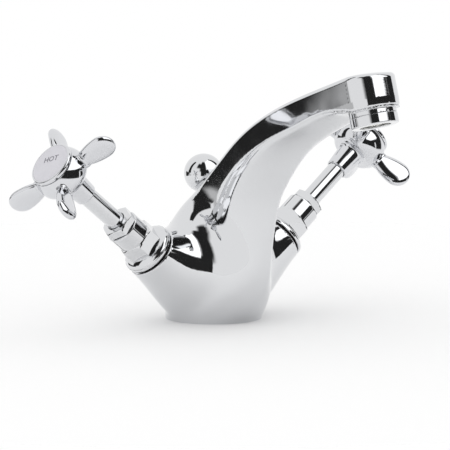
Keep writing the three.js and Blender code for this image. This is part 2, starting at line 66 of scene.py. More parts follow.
# ---------------------------------------------------------------- camera
# A long lens well back, left of the spout and a little above the deck, aimed at the column.
scene.view_settings.view_transform = "Standard"
camera_round = math.radians(39.11)
camera_height = math.radians(7.62)
camera_distance = 2545.4 * mm
camera_aim = Vector((8.45, 1.26, 47.05)) * mm
look = Vector((
    math.sin(camera_round) * math.cos(camera_height),
    math.cos(camera_round) * math.cos(camera_height),
    -math.sin(camera_height),
))
camera_data = bpy.data.cameras.new("camera")
camera_data.sensor_width = 36
camera_data.lens = 395.9
camera_data.clip_end = 100
camera = bpy.data.objects.new("camera", camera_data)
camera.location = camera_aim - look * camera_distance
camera.rotation_euler = look.to_track_quat("-Z", "Y").to_euler()
scene.collection.objects.link(camera)
scene.camera = camera

# ---------------------------------------------------------------- studio
# A white sweep lit evenly from all round. Black flags and one bright softbox stand round it, as
# they do for polished chrome: they show only in reflections and give the metal its dark edges.
def linear(hex_colour):
    """An sRGB hex colour as linear red, green, blue and alpha."""
    parts = [int(hex_colour[i:i + 2], 16) / 255 for i in (1, 3, 5)]
    return tuple(v / 12.92 if v <= 0.04045 else ((v + 0.055) / 1.055) ** 2.4 for v in parts) + (1,)


def node(tree, kind, links=None, **settings):
    """One shader node: settings are its properties, links are its inputs, a value or a socket."""
    made = tree.nodes.new(kind)
    for name, value in settings.items():
        setattr(made, name, value)
    for name, value in (links or {}).items():
        if isinstance(value, bpy.types.NodeSocket):
            tree.links.new(value, made.inputs[name])
        else:
            made.inputs[name].default_value = value
    return made


world = bpy.data.worlds.new("studio")
scene.world = world
world.use_nodes = True
sky = world.node_tree
sky.nodes.clear()
toward = node(sky, "ShaderNodeTexCoord").outputs["Generated"]
to_camera = (-math.sin(camera_round), -math.cos(camera_round), 0)
to_left = (-math.cos(camera_round), math.sin(camera_round), 0)
ahead = node(sky, "ShaderNodeVectorMath", {0: toward, 1: to_camera}, operation="DOT_PRODUCT")
aside = node(sky, "ShaderNodeVectorMath", {0: toward, 1: to_left}, operation="DOT_PRODUCT")
turned = node(
    sky, "ShaderNodeMath", {0: aside.outputs["Value"], 1: ahead.outputs["Value"]},
    operation="ARCTAN2",
)
bearing = node(sky, "ShaderNodeMath", {0: turned.outputs[0]}, operation="DEGREES").outputs[0]
level = node(sky, "ShaderNodeSeparateXYZ", {0: toward})
raised = node(sky, "ShaderNodeMath", {0: level.outputs["Z"]}, operation="ARCSINE")
height = node(sky, "ShaderNodeMath", {0: raised.outputs[0]}, operation="DEGREES").outputs[0]


def panel(behind, brightness, left, right, low, high, soft=3):
    """A panel hung round the tent, in degrees from the camera's side and above the table."""
    shade = 1.0
    edges = ((bearing, left, 1), (bearing, right, -1), (height, low, 1), (height, high, -1))
    for angle, edge, way in edges:
        ramp = node(sky, "ShaderNodeMapRange", {
            "Value": angle, "From Min": edge - way * soft / 2, "From Max": edge + way * soft / 2,
        }, interpolation_type="SMOOTHSTEP")
        product = node(sky, "ShaderNodeMath", {0: ramp.outputs[0], 1: shade}, operation="MULTIPLY")
        shade = product.outputs[0]
    mixed = node(sky, "ShaderNodeMix", {0: shade, 2: behind, 3: brightness})
    return mixed.outputs[0]


tent = 0.97
flag, grey_card, softbox = 0.02, 0.6, 1.6
for brightness, *place in (
    (flag, -118, -97, 6, 70, 4),
    (flag, -118, -81, -11, 20, 4),
    (flag, -84, 16, 11, 24, 3),
    (flag, -75, 16, -11, 13, 3),
    (flag, -18, 24, 14, 75, 12),
    (flag, 14, 48, 32, 60, 12),
    (softbox, -99, -21, 21.5, 75, 2),
    (flag, 81, 99, 2, 55, 3),
    (flag, 90, 101, -7, 12, 2.5),
    (grey_card, 78, 99, -16, -4, 5),
    (flag, 98.4, 125, -14, 2, 2.4),
):
    tent = panel(tent, brightness, *place)
rays = node(sky, "ShaderNodeLightPath")
glow = node(sky, "ShaderNodeMix", {0: rays.outputs["Is Glossy Ray"], 2: 1.0, 3: tent})
lit = node(sky, "ShaderNodeBackground", {"Color": linear("#ffffff"), "Strength": glow.outputs[0]})
node(sky, "ShaderNodeOutputWorld", {"Surface": lit.outputs[0]})

floor_radius = 380 * mm
floor_sides = 96
floor_mesh = bpy.data.meshes.new("floor")
floor_rim = [2 * math.pi * i / floor_sides for i in range(floor_sides)]
floor_mesh.from_pydata(
    [(floor_radius * math.cos(t), floor_radius * math.sin(t), cad_box[0][2]) for t in floor_rim],
    [], [range(floor_sides)],
)
floor = bpy.data.objects.new("floor", floor_mesh)
scene.collection.objects.link(floor)
paper = bpy.data.materials.new("white_paper_sweep")
paper.use_nodes = True
paper.node_tree.nodes["Principled BSDF"].inputs["Base Color"].default_value = linear("#ffffff")
paper.node_tree.nodes["Principled BSDF"].inputs["Roughness"].default_value = 1
paper.node_tree.nodes["Principled BSDF"].inputs["Specular IOR Level"].default_value = 0
floor_mesh.materials.append(paper)

# ---------------------------------------------------------------- body casting
# One brass casting: base, column, spout, nose and the two valve arms. It is gravity cast,
# bored for its valves, waterways and lift rod, ground smooth by hand, polished and chromed.
def rounded_max(a, b, radius):
    """Two faces that meet on the outside of a solid, with their edge rounded off."""
    outside = np.hypot(np.maximum(a + radius, 0), np.maximum(b + radius, 0))
    return np.minimum(np.maximum(a, b), -radius) + outside


def blended_min(a, b, reach):
    """Two solids cast together, with a soft hollow where they meet."""
    near = np.maximum(reach - np.abs(a - b), 0) / reach
    return np.minimum(a, b) - near ** 3 * reach / 6


def slope_of(field, points, reach=0.02):
    """The unit normals of a field at points, which is an array of rows x, y, z."""
    normals = np.empty_like(points)
    for axis in range(3):
        ahead, behind = points.copy(), points.copy()
        ahead[:, axis] += reach
        behind[:, axis] -= reach
        normals[:, axis] = field(*ahead.T) - field(*behind.T)
    return normals / np.maximum(np.linalg.norm(normals, axis=1, keepdims=True), 1e-9)


def grid(low, high, step):
    """Even grid lines in x, y and z."""
    return [np.arange(a, b + step, step) for a, b in zip(low, high)]


# How often a crossing is narrowed down, how strongly a vertex is held to the middle of its
# crossings, and how far inside its face a corner's normal is taken.
settle_rounds = 3
middle_pull = 0.05
corner_inset = 0.2


def skin(field, axes):
    """Quads over the surface where a field is 0, and a normal for each of their corners.

    A field gives millimetres outside a solid. Each grid cell that the surface crosses gets one
    vertex, at the place that fits the faces crossing it, so edges and corners stay sharp."""
    value = field(*np.meshgrid(*axes, indexing="ij", sparse=True))
    value = np.broadcast_to(value, [len(axis) for axis in axes])
    cells, crossings, normals, flips = [], [], [], []
    for axis in range(3):
        one = np.eye(3, dtype=int)[axis]
        span = [slice(None, -1) if k == axis else slice(1, -1) for k in range(3)]
        near = value[tuple(span)]
        span[axis] = slice(1, None)
        far = value[tuple(span)]
        edge = np.argwhere((near < 0) != (far < 0)) + 1 - one
        lower, upper = value[tuple(edge.T)], value[tuple((edge + one).T)]
        start = np.stack([axes[k][edge[:, k]] for k in range(3)], axis=1)
        gap = np.diff(axes[axis])[edge[:, axis]]
        share_a, share_b = np.zeros(len(edge)), np.ones(len(edge))
        for _ in range(settle_rounds):
            share = share_a + (share_b - share_a) * lower / (lower - upper)
            point = start + one * (share * gap)[:, None]
            found = field(*point.T)
            same = (found < 0) == (lower < 0)
            share_a, lower = np.where(same, share, share_a), np.where(same, found, lower)
            share_b, upper = np.where(same, share_b, share), np.where(same, upper, found)
        two, three = np.eye(3, dtype=int)[(axis + 1) % 3], np.eye(3, dtype=int)[(axis + 2) % 3]
        cells.append(np.stack([edge, edge - two, edge - two - three, edge - three], axis=1))
        crossings.append(point)
        normals.append(slope_of(field, point))
        flips.append(value[tuple(edge.T)] > 0)
    cells, crossings, normals, flips = map(np.concatenate, (cells, crossings, normals, flips))

    flat = np.ravel_multi_index(cells.reshape(-1, 3).T, value.shape)
    kept, number = np.unique(flat, return_inverse=True)
    corner = np.stack(np.unravel_index(kept, value.shape), axis=1)
    count = np.bincount(number, minlength=len(kept))
    totals = [np.bincount(number, np.repeat(crossings[:, k], 4), len(kept)) for k in range(3)]
    middle = np.stack(totals, axis=1) / count[:, None]
    own = np.repeat(crossings, 4, axis=0) - middle[number]
    facing = np.repeat(normals, 4, axis=0)
    offset = (own * facing).sum(axis=1)
    pull = np.empty((len(kept), 3))
    spread = np.empty((len(kept), 3, 3))
    for i in range(3):
        pull[:, i] = np.bincount(number, facing[:, i] * offset, len(kept))
        for j in range(3):
            spread[:, i, j] = np.bincount(number, facing[:, i] * facing[:, j], len(kept))
    spread += middle_pull * np.eye(3)
    vertex = middle + np.linalg.solve(spread, pull[:, :, None])[:, :, 0]
    cell_low = np.stack([axes[k][corner[:, k]] for k in range(3)], axis=1)
    cell_high = np.stack([axes[k][corner[:, k] + 1] for k in range(3)], axis=1)
    vertex = np.clip(vertex, cell_low, cell_high)

    quads = number.reshape(-1, 4)
    quads[flips] = quads[flips, ::-1]
    corners = vertex[quads]
    inward = corners + corner_inset * (corners.mean(axis=1, keepdims=True) - corners)
    return vertex, quads, slope_of(field, inward.reshape(-1, 3))


def piece_from(name, vertices, faces, normals, material, place=None):
    """A new object from millimetre vertices, faces of equal length and one normal for each corner."""
    mesh = bpy.data.meshes.new(name)
    mesh.vertices.add(len(vertices))
    mesh.loops.add(faces.size)
    mesh.polygons.add(len(faces))
    mesh.vertices.foreach_set("co", (vertices * mm).astype(np.float32).ravel())
    mesh.loops.foreach_set("vertex_index", faces.astype(np.int32).ravel())
    mesh.polygons.foreach_set("loop_start", np.arange(0, faces.size, faces.shape[1], dtype=np.int32))
    mesh.update(calc_edges=True)
    mesh.polygons.foreach_set("use_smooth", np.ones(len(faces), dtype=bool))
    mesh.normals_split_custom_set(normals)
    if place is not None:
        mesh.transform(place)
    mesh.materials.append(material)
    made = bpy.data.objects.new(name, mesh)
    scene.collection.objects.link(made)
    return made


# Stations up the column and along the spout: back ridge and front keel in y and z, how far the
# section has turned from the round base into the fin, where its side wall breaks into the flank as
# a share of its depth, the radius of its back corners, and half its width.
stations = np.array([
    (24.95, 0, -24.95, 0, 0, 0.5, 8, 13.6),
    (24.95, 1.4, -24.95, 1.4, 0, 0.5, 8, 13.6),
    (24.8, 9, -31.5, 8, 0.2, 0.5, 8, 13.6),
    (23.2, 20, -38.8, 17, 0.45, 0.5, 8, 13.6),
    (20.4, 32, -43.2, 27.5, 0.7, 0.5, 7, 13.6),
    (15.9, 46, -45.6, 41, 0.9, 0.5, 6, 13.6),
    (9.4, 56.9, -48.6, 55, 1, 0.5, 5, 13.7),
    (0.3, 66.6, -51.8, 65.6, 1, 0.47, 4.6, 13.9),
    (-10.2, 76.4, -57.2, 74, 1, 0.44, 4.2, 14.1),
    (-20.3, 85.6, -63, 81.2, 1, 0.45, 3.8, 14.25),
    (-31.8, 95.6, -70.6, 89.6, 1, 0.52, 3.4, 14.35),
    (-46.2, 105.3, -80, 96.8, 1, 0.61, 3, 14.62),
    (-62.5, 113.8, -91, 102.7, 1, 0.68, 2.7, 14.82),
    (-80, 121.2, -102, 107.8, 1, 0.68, 2.4, 14.84),
    (-98, 127.8, -112.4, 113.2, 1, 0.76, 2.1, 14.6),
    (-118.7, 135.15, -124.06, 117.55, 1, 1, 1.8, 14.12),
])
# The band along the back is crowned, and so are the side walls, less and less toward the nose.
# The nose is slightly domed on top and draws in toward its foot.
band_crown = 1.1
wall_crown = 0.35
crown_fade = 3
nose_taper_high, nose_taper = 4.6, 0.06
nose_dome = 0.013
flank_bulge = 1.1
keel_round = 4
crease_round = 1.5
controls = stations.copy()
controls[1:-1] -= (stations[2:] - 2 * stations[1:-1] + stations[:-2]) / 6
ends = 2 * controls[[0, -1]] - controls[[1, -2]]
controls = np.concatenate([ends[:1], controls, ends[1:]])


def station(number):
    """The sizes at a station number, whole or between."""
    whole = np.clip(np.floor(number), 0, len(stations) - 2).astype(int)
    t = number - whole
    weights = ((1 - t) ** 3 / 6, (3 * t ** 3 - 6 * t ** 2 + 4) / 6,
               (3 * t + 3 * t ** 2 - 3 * t ** 3 + 1) / 6, t ** 3 / 6)
    return sum(w[..., None] * controls[whole + k] for k, w in enumerate(weights))


def ridge_to_keel(number):
    """The two ends, on ridge and keel, of the section at a station number."""
    return np.moveaxis(station(number)[..., :4], -1, 0)


def follow(line_of, last, low, high, cell=2):
    """How to find a point's place in a run of lines across a plane, numbered from 0 to last.

    line_of gives the two ends of the line with a number. The answer is a function of the point."""
    numbers = np.linspace(0, last, 160)
    ends = line_of(numbers)
    start, way = np.stack(ends[:2], axis=-1), np.stack(ends[2:], axis=-1) - np.stack(ends[:2], axis=-1)
    rows, columns = np.arange(low[0], high[0], cell), np.arange(low[1], high[1], cell)
    point = np.stack(np.meshgrid(rows, columns, indexing="ij"), axis=-1)[:, :, None, :]
    along = ((point - start) * way).sum(axis=-1) / (way ** 2).sum(axis=-1)
    short = point - start - np.clip(along, 0, 1)[..., None] * way
    nearest = numbers[np.argmin((short ** 2).sum(axis=-1), axis=-1)]

    def miss(number, a, b):
        sa, sb, ea, eb = line_of(number)
        return (ea - sa) * (b - sb) - (eb - sb) * (a - sa)

    def settle(number, a, b, rounds):
        nudge, most = last * 1e-4, last / 40
        for _ in range(rounds):
            missed = miss(number, a, b)
            rate = (miss(number + nudge, a, b) - missed) / nudge
            number = np.clip(number - np.clip(missed / rate, -most, most), 0, last)
        return number

    chart = settle(nearest, rows[:, None], columns[None, :], 4)

    def number_at(a, b):
        row = np.clip(np.rint((a - low[0]) / cell).astype(int), 0, len(rows) - 1)
        column = np.clip(np.rint((b - low[1]) / cell).astype(int), 0, len(columns) - 1)
        return settle(chart[row, column], a, b, 3)

    return number_at


station_number = follow(ridge_to_keel, len(stations) - 1, (-150, -12), (40, 150))

outlet = next(m for m in frame["record"]["mounts"] if m["name"] == "outlet")
outlet_reach = -outlet["pos_m"][1] / mm
outlet_height = outlet["pos_m"][2] / mm
outlet_lean = math.asin(-outlet["axis"][1])
nose_foot, nose_top = 8, 26.4
far, line_slack = 99, 1
boss_radius, boss_foot = 11.9, 5.4


def in_nose(y, z):
    """Forward of the outlet axis, and height along it."""
    y, z = y + outlet_reach, z - outlet_height
    forward = -y * math.cos(outlet_lean) + z * math.sin(outlet_lean)
    return forward, y * math.sin(outlet_lean) + z * math.cos(outlet_lean)


def column(x, y, z):
    """The column, spout and nose."""
    number = station_number(*np.broadcast_arrays(y, z))
    sizes = station(number)
    ry, rz, ky, kz, fin, crease, corner, half = (sizes[..., k] for k in range(8))
    forward, height = in_nose(y, z)
    length = np.hypot(ky - ry, kz - rz)
    deep = ((y - ry) * (ky - ry) + (z - rz) * (kz - rz)) / length
    off = np.abs((ky - ry) * (z - rz) - (kz - rz) * (y - ry)) / length
    ahead = forward > 0
    deep = np.where(ahead, nose_top - height, deep)
    wide = np.hypot(x, np.maximum(forward, 0))
    # The taper comes in over the last fifth of the crease's way to the foot of the nose.
    tapered = nose_taper * np.clip(deep - (nose_top - nose_foot - nose_taper_high), 0, None)
    wide = wide + tapered * np.clip(5 * crease - 4, 0, 1)
    back = band_crown * (x / half) ** 2 + nose_dome * np.maximum(forward, 0) ** 2 - deep
    crown = wall_crown * np.clip(crown_fade * (1 - crease), 0, 1)
    wall = wide - half + crown * np.clip(deep / np.maximum(crease * length, 1), 0, 1) ** 2
    shell = rounded_max(back, wall, corner)
    rise, run = (1 - crease) * length, np.hypot(half - crown, keel_round) - keel_round
    below = deep - crease * length
    share = np.clip(below / np.maximum(rise, 1), 0, 1)
    leaning = (np.hypot(wide, keel_round) - keel_round - run) * rise + below * run
    flank = leaning / np.hypot(rise, run) - flank_bulge * 4 * share * (1 - share)
    finned = rounded_max(shell, flank, crease_round)
    turned = np.hypot(wide, deep - length / 2) - length / 2
    body = turned + (finned - turned) * fin
    body = np.maximum(body, np.where(ahead, -far, off - line_slack))
    boss = np.maximum(np.hypot(x, forward) - boss_radius, boss_foot - height)
    boss = np.maximum(boss, height - nose_foot - 1)
    return np.minimum(body, boss)


joints = {joint["name"]: joint for joint in frame["joints"]}
valve_lean = math.asin(joints["cold_valve"]["axis"][2])
hinge = joints["cold_valve"]
valve_datum = (hinge["pos_m"][2] - hinge["pos_m"][0] * math.tan(valve_lean)) / mm
arm_reach = 52.7
arm_radius = 14
arm_edge = 0.5
arm_end = np.array((math.cos(valve_lean), math.sin(valve_lean))) * arm_reach + (0, valve_datum)
arm_across = np.array((-math.sin(valve_lean), math.cos(valve_lean))) * arm_radius
arm_top, arm_foot = arm_end + arm_across, arm_end - arm_across
root_top, root_foot = np.array((5, 58)), np.array((9, 0.5))
arm_shares = (0, 0.135, 0.3, 0.46, 0.62, 1)
smooth = np.polynomial.Polynomial
top_sag = smooth.fit(arm_shares, (0, 1.1, 1.7, 1.2, 0, 0), 4).convert()
foot_sag = smooth.fit(arm_shares, (0, 1.7, 4.4, 7.3, 8.6, 0), 4).convert()
arm_grow = smooth.fit(arm_shares, (0, 0.6, 1.6, 3, 4.4, 5), 4).convert()


def arm_line(share):
    """The top and foot of the cold arm's oval, in x and z, at a share of the way in from its end."""
    return (
        arm_top[0] + (root_top[0] - arm_top[0]) * share,
        arm_top[1] + (root_top[1] - arm_top[1]) * share - top_sag(share),
        arm_foot[0] + (root_foot[0] - arm_foot[0]) * share,
        arm_foot[1] + (root_foot[1] - arm_foot[1]) * share - foot_sag(share),
    )


arm_share = follow(arm_line, 1, (-4, -8), (60, 84))


def arms(x, y, z):
    """Both valve arms: ovals that run from the round end face down into the column."""
    across, up = np.broadcast_arrays(np.abs(x), z)
    share = arm_share(across, up)
    tx, tz, fx, fz = arm_line(share)
    tall = np.hypot(fx - tx, fz - tz) / 2
    down = ((across - tx) * (fx - tx) + (up - tz) * (fz - tz)) / (2 * tall) - tall
    wide = arm_radius + arm_grow(share)
    near = np.hypot(down / tall, y / wide)
    pace = np.hypot(down / tall ** 2, y / wide ** 2)
    oval = (near - 1) * near / np.maximum(pace, 1e-4)
    along = across * math.cos(valve_lean) + (up - valve_datum) * math.sin(valve_lean)
    return rounded_max(oval, along - arm_reach, arm_edge)


# The bores: for each valve its thread, a recess round its disc chamber and a seat hole; below,
# the inlets, the fixing stud and the seal's groove; behind, the rod; in the nose, the aerator.
valve_bore, valve_bore_floor = 10, 35.7
disc_recess, disc_recess_middle, disc_recess_half = 11.3, 45.8, 3.5
seat_hole, seat_hole_middle, seat_hole_half = 5.4, 28, 9
inlet_across, inlet_forward, inlet_bore, inlet_top = 12.5, 3, 4.8, 19.3
stud_forward, stud_bore, stud_top = 12.5, 4, 14
rod_hole_back, rod_hole, bush_bore, bush_top = 8.3, 3.5, 5.1, 47.9
groove_radius, groove_half, groove_deep = 20.9, 1.8, 2
aerator_bore, aerator_bore_top = 10.9, 13.3
throat_bore, throat_top = 7.6, 20.9
nose_bores_from, nose_bores_foot = -20, -5


def bores(x, y, z):
    """Everything that is bored or cored out of the casting."""
    across = np.abs(x)
    along = across * math.cos(valve_lean) + (z - valve_datum) * math.sin(valve_lean)
    off = np.hypot(y, (z - valve_datum) * math.cos(valve_lean) - across * math.sin(valve_lean))
    behind = np.hypot(x, y - rod_hole_back)
    hole = np.maximum(off - valve_bore, valve_bore_floor - along)
    for radius, middle, half in (
        (disc_recess, disc_recess_middle, disc_recess_half),
        (seat_hole, seat_hole_middle, seat_hole_half),
    ):
        hole = np.minimum(hole, np.maximum(off - radius, np.abs(along - middle) - half))
    inlet = np.hypot(across - inlet_across, y + inlet_forward) - inlet_bore
    hole = np.minimum(hole, np.maximum(inlet, z - inlet_top))
    hole = np.minimum(hole, np.maximum(np.hypot(x, y + stud_forward) - stud_bore, z - stud_top))
    hole = np.minimum(hole, np.maximum(behind - bush_bore, z - bush_top))
    hole = np.minimum(hole, behind - rod_hole)
    groove = np.maximum(np.abs(np.hypot(x, y) - groove_radius) - groove_half, z - groove_deep)
    hole = np.minimum(hole, groove)
    forward, height = in_nose(y, z)
    throat = np.hypot(x, forward)
    hole = np.minimum(hole, np.maximum(throat - aerator_bore, height - aerator_bore_top))
    hole = np.minimum(hole, np.maximum(throat - throat_bore, height - throat_top))
    return np.where(forward > nose_bores_from, np.maximum(hole, nose_bores_foot - height), hole)


# The soft hollow between arms and column widens upward, and closes again behind the column.
hollow_foot, hollow_more, hollow_back = 6, 18, 20
hollow_start, hollow_rise = 8, 25
back_start, back_rise, back_across, back_deep = 46, 12, 12, 12
deck_gap, deck_edge = 0.03, 0.4


def casting(x, y, z):
    """The whole casting. The hollow of arms and column is smaller behind, clear of the ball."""
    rise = np.clip((z - hollow_start) / hollow_rise, 0, 1)
    hollow = hollow_foot + hollow_more * rise * rise * (3 - 2 * rise)
    behind = np.clip((z - back_start) / back_rise, 0, 1) * np.clip(1 - (x / back_across) ** 2, 0, 1)
    behind = behind * np.clip((y + back_deep) / back_deep, 0, 1)
    hollow = hollow - hollow_back * behind * behind * (3 - 2 * behind)
    body = blended_min(column(x, y, z), arms(x, y, z), hollow)
    body = rounded_max(body, deck_gap - z + 0 * x, deck_edge)
    return np.maximum(body, -bores(x, y, z))


def metal(name, colour, roughness, smears, ripple, ripple_width):
    """A plated or bare metal. Smears are a faint unevenness of its polish, and ripple, in
    millimetres high and wide, is what hand polishing leaves: it bends the reflections slightly."""
    made = bpy.data.materials.new(name)
    made.use_nodes = True
    tree = made.node_tree
    face = tree.nodes["Principled BSDF"]
    face.inputs["Base Color"].default_value = linear(colour)
    face.inputs["Metallic"].default_value = 1
    where = node(tree, "ShaderNodeTexCoord").outputs["Object"]
    haze = node(tree, "ShaderNodeTexNoise", {"Vector": where, "Scale": 1 / (9 * mm), "Detail": 5})
    uneven = node(tree, "ShaderNodeMapRange", {
        "Value": haze.outputs["Fac"], "From Min": 0.35, "From Max": 0.7,
        "To Min": roughness, "To Max": roughness + smears,
    })
    tree.links.new(uneven.outputs[0], face.inputs["Roughness"])
    swell = node(tree, "ShaderNodeTexNoise", {
        "Vector": where, "Scale": 1 / (ripple_width * mm), "Detail": 1,
    })
    wavy = node(tree, "ShaderNodeBump", {
        "Height": swell.outputs["Fac"], "Strength": 1, "Distance": ripple * mm,
    })
    tree.links.new(wavy.outputs[0], face.inputs["Normal"])
    return made


# Bright chrome over nickel on polished brass: a neutral mirror, a little uneven from the
# buffing wheel.
chrome = metal("polished_chrome_plate", "#dcdddf", 0.03, 0.04, 0.02, 14)

# The grid is finer across the column, and along and up the spout, where the edges are small.
coarse, fine = 1.0, 0.62
casting_axes = [
    np.concatenate([np.arange(-52, -16, coarse), np.arange(-16, 16, fine), np.arange(16, 53, coarse)]),
    np.concatenate([np.arange(-141, -88, fine), np.arange(-88, 28, coarse)]),
    np.concatenate([np.arange(-1.7, 98, coarse), np.arange(98, 140, fine)]),
]
body = piece_from("body_casting_chromed", *skin(casting, casting_axes), chrome)
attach(body, "tap_body")
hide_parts("body_casting")

# ---------------------------------------------------------------- base seal
# A black rubber ring let into a groove under the base, squeezed onto the basin by the fixing stud.
def turned_shape(corners, closed=False, segments=96):
    """A lathe-turned shape from its outline of radius, height and rounding at each corner.

    The outline runs anticlockwise from axis to axis, or round on itself if closed."""
    count = len(corners)
    points, arriving, leaving = [], [], []
    for i, (radius, height, rounding) in enumerate(corners):
        here = np.array((radius, height), dtype=float)
        into = here - np.array(corners[i - 1][:2])
        away = np.array(corners[(i + 1) % count][:2]) - here
        if not closed and i == 0:
            into = away
        if not closed and i == count - 1:
            away = into
        into, away = into / np.linalg.norm(into), away / np.linalg.norm(away)
        bend = math.atan2(into[0] * away[1] - into[1] * away[0], into @ away)
        first = np.array((into[1], -into[0]))
        last = np.array((away[1], -away[0]))
        if rounding == 0 or abs(bend) < 1e-3:
            points.append(here)
            arriving.append(first)
            leaving.append(last)
            continue
        side = math.copysign(rounding, bend)
        centre = here - into * rounding * math.tan(abs(bend) / 2) - side * first
        steps = max(2, math.ceil(abs(bend) / math.radians(9)))
        for k in range(steps + 1):
            turn = bend * k / steps
            facing = np.array((
                first[0] * math.cos(turn) - first[1] * math.sin(turn),
                first[0] * math.sin(turn) + first[1] * math.cos(turn),
            ))
            points.append(centre + side * facing)
            arriving.append(facing)
            leaving.append(facing)
    points, arriving, leaving = map(np.array, (points, arriving, leaving))
    rings = len(points)
    start = np.arange(rings if closed else rings - 1)
    following = (start + 1) % rings
    round_to = np.arange(segments)
    angle = 2 * np.pi * round_to / segments
    spin = np.stack([np.cos(angle), np.sin(angle)], axis=1)
    vertices = np.concatenate([
        points[:, None, :1] * spin, np.repeat(points[:, None, 1:], segments, axis=1)
    ], axis=2).reshape(-1, 3)
    here, there = start[:, None] * segments, following[:, None] * segments
    beside = (round_to + 1) % segments
    quads = np.stack([here + round_to, here + beside, there + beside, there + round_to], axis=2)
    facings = []
    for facing, turn in ((leaving[start], round_to), (leaving[start], beside),
                         (arriving[following], beside), (arriving[following], round_to)):
        facings.append(np.concatenate([
            facing[:, None, :1] * spin[turn], np.repeat(facing[:, None, 1:], segments, axis=1)
        ], axis=2))
    return vertices, quads.reshape(-1, 4), np.stack(facings, axis=2).reshape(-1, 3)


def soft_material(name, colour, roughness, grain, grain_height, mottle):
    """A plain moulded or fired material with a fine grain, in millimetres, and a faint mottle."""
    made = bpy.data.materials.new(name)
    made.use_nodes = True
    tree = made.node_tree
    face = tree.nodes["Principled BSDF"]
    face.inputs["Roughness"].default_value = roughness
    where = node(tree, "ShaderNodeTexCoord").outputs["Object"]
    speck = node(tree, "ShaderNodeTexNoise", {"Vector": where, "Scale": 1 / (grain * mm), "Detail": 3})
    cloud = node(tree, "ShaderNodeTexNoise", {"Vector": where, "Scale": 1 / (6 * mm), "Detail": 2})
    shade = node(tree, "ShaderNodeMapRange", {
        "Value": cloud.outputs["Fac"], "From Min": 0.3, "From Max": 0.7,
        "To Min": 1 - mottle, "To Max": 1,
    })
    tone = node(tree, "ShaderNodeMix", {0: 1.0, 6: linear(colour), 7: shade.outputs[0]},
                data_type="RGBA", blend_type="MULTIPLY")
    tree.links.new(tone.outputs[2], face.inputs["Base Color"])
    relief = node(tree, "ShaderNodeBump", {
        "Height": speck.outputs["Fac"], "Strength": 1, "Distance": grain_height * mm,
    })
    tree.links.new(relief.outputs[0], face.inputs["Normal"])
    return made


# Moulded nitrile rubber: black, matt, with a faint bloom.
rubber = soft_material("nitrile_rubber", "#1b1b1c", 0.75, 0.4, 0.02, 0.25)
seal_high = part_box("base_seal")[1]
seal_outer = seal_high[0] / mm
seal_top = seal_high[2] / mm
seal_width = 3
base_seal = piece_from("base_seal_ring", *turned_shape([
    (seal_outer - seal_width, 0, 0.3),
    (seal_outer, 0, 0.3),
    (seal_outer, seal_top, 0.5),
    (seal_outer - seal_width, seal_top, 0.5),
], closed=True), rubber)
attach(base_seal, "tap_body")
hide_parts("base_seal")

# ---------------------------------------------------------------- aerator
# A turned and chromed brass ring screws into the nose. It holds a white moulded insert whose
# nineteen nozzles straighten the water, with a rubber washer above.
outlet_place = (
    Matrix.Translation((0, -outlet_reach * mm, outlet_height * mm))
    @ Matrix.Rotation(-outlet_lean, 4, "X")
)
ring_radius = 12
ring_height = 5.1
thread_radius = 10.6
housing_top = 11.1
insert_radius = 9
insert_low = 1.2
play = 0.3
wall_inside = insert_radius + play
mouth_lip = 1.2
mouth = insert_radius - mouth_lip
trim_chrome = metal("turned_chrome_plate", "#dcdddf", 0.03, 0.03, 0.01, 9)
housing = piece_from("aerator_ring", *turned_shape([
    (mouth, 0, 0.3),
    (ring_radius, 0, 0.7),
    (ring_radius, ring_height, 0.25),
    (thread_radius, ring_height, 0.1),
    (thread_radius, housing_top, 0.3),
    (wall_inside, housing_top, 0.3),
    (wall_inside, insert_low - play, 0.1),
    (mouth, insert_low - play, 0.3),
], closed=True), trim_chrome, outlet_place)
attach(housing, "tap_body")
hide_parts("aerator_housing")

nozzle_pitch = 3.5
nozzle_radius = 1
nozzle_wall = 0.5
plate_middle, plate_half = 6.3, 4.5
collar_middle, collar_half = 3, 1.8
insert_step = 0.34


def nozzle_insert(x, y, z):
    """A disc with a hexagon of nozzles, each with a small collar on the underside."""
    off = np.hypot(x, y)
    solid = rounded_max(off - insert_radius, np.abs(z - plate_middle) - plate_half, 0.3)
    collars, holes = far, far
    for row in range(-2, 3):
        for turn in range(max(-2, -row - 2), min(2, 2 - row) + 1):
            aside = x - nozzle_pitch * (row + turn / 2)
            away = np.hypot(aside, y - nozzle_pitch * turn * math.sqrt(3) / 2)
            collars = np.minimum(collars, away - nozzle_radius - nozzle_wall)
            holes = np.minimum(holes, away - nozzle_radius)
    collars = rounded_max(collars, np.abs(z - collar_middle) - collar_half, 0.15)
    solid = np.minimum(solid, collars)
    return np.maximum(solid, -holes)


# Moulded acetal: white, slightly translucent in the hand, satin from the tool.
plastic = soft_material("moulded_acetal", "#e9e9e5", 0.45, 0.6, 0.01, 0.06)
insert = piece_from(
    "aerator_nozzles",
    *skin(nozzle_insert, grid((-9.5, -9.5, 0.8), (9.5, 9.5, 11.2), insert_step)),
    plastic, outlet_place,
)
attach(insert, "tap_body")
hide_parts("aerator_insert")


def finish_cad(name, material):
    """A hidden piece keeps its CAD shape and takes a worked material."""
    slots = frame["nodes"][name].material_slots
    for slot in slots:
        slot.material = material


finish_cad("aerator_washer", rubber)

# ---------------------------------------------------------------- pop-up lift rod
# A stainless rod slides in a moulded bush behind the spout and works the waste. Its chromed brass
# ball is turned in one with a short neck, and screws onto the rod.
rod_low, rod_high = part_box("lift_rod")
knob_low, knob_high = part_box("lift_knob")
rod_back = (rod_low[1] + rod_high[1]) / 2 / mm
rod_radius = 2.5
knob_radius = 10.1
knob_middle = knob_high[2] / mm - knob_radius
neck_radius = 3.8
neck_foot = knob_low[2] / mm
rod_place = Matrix.Translation((0, rod_back * mm, 0))
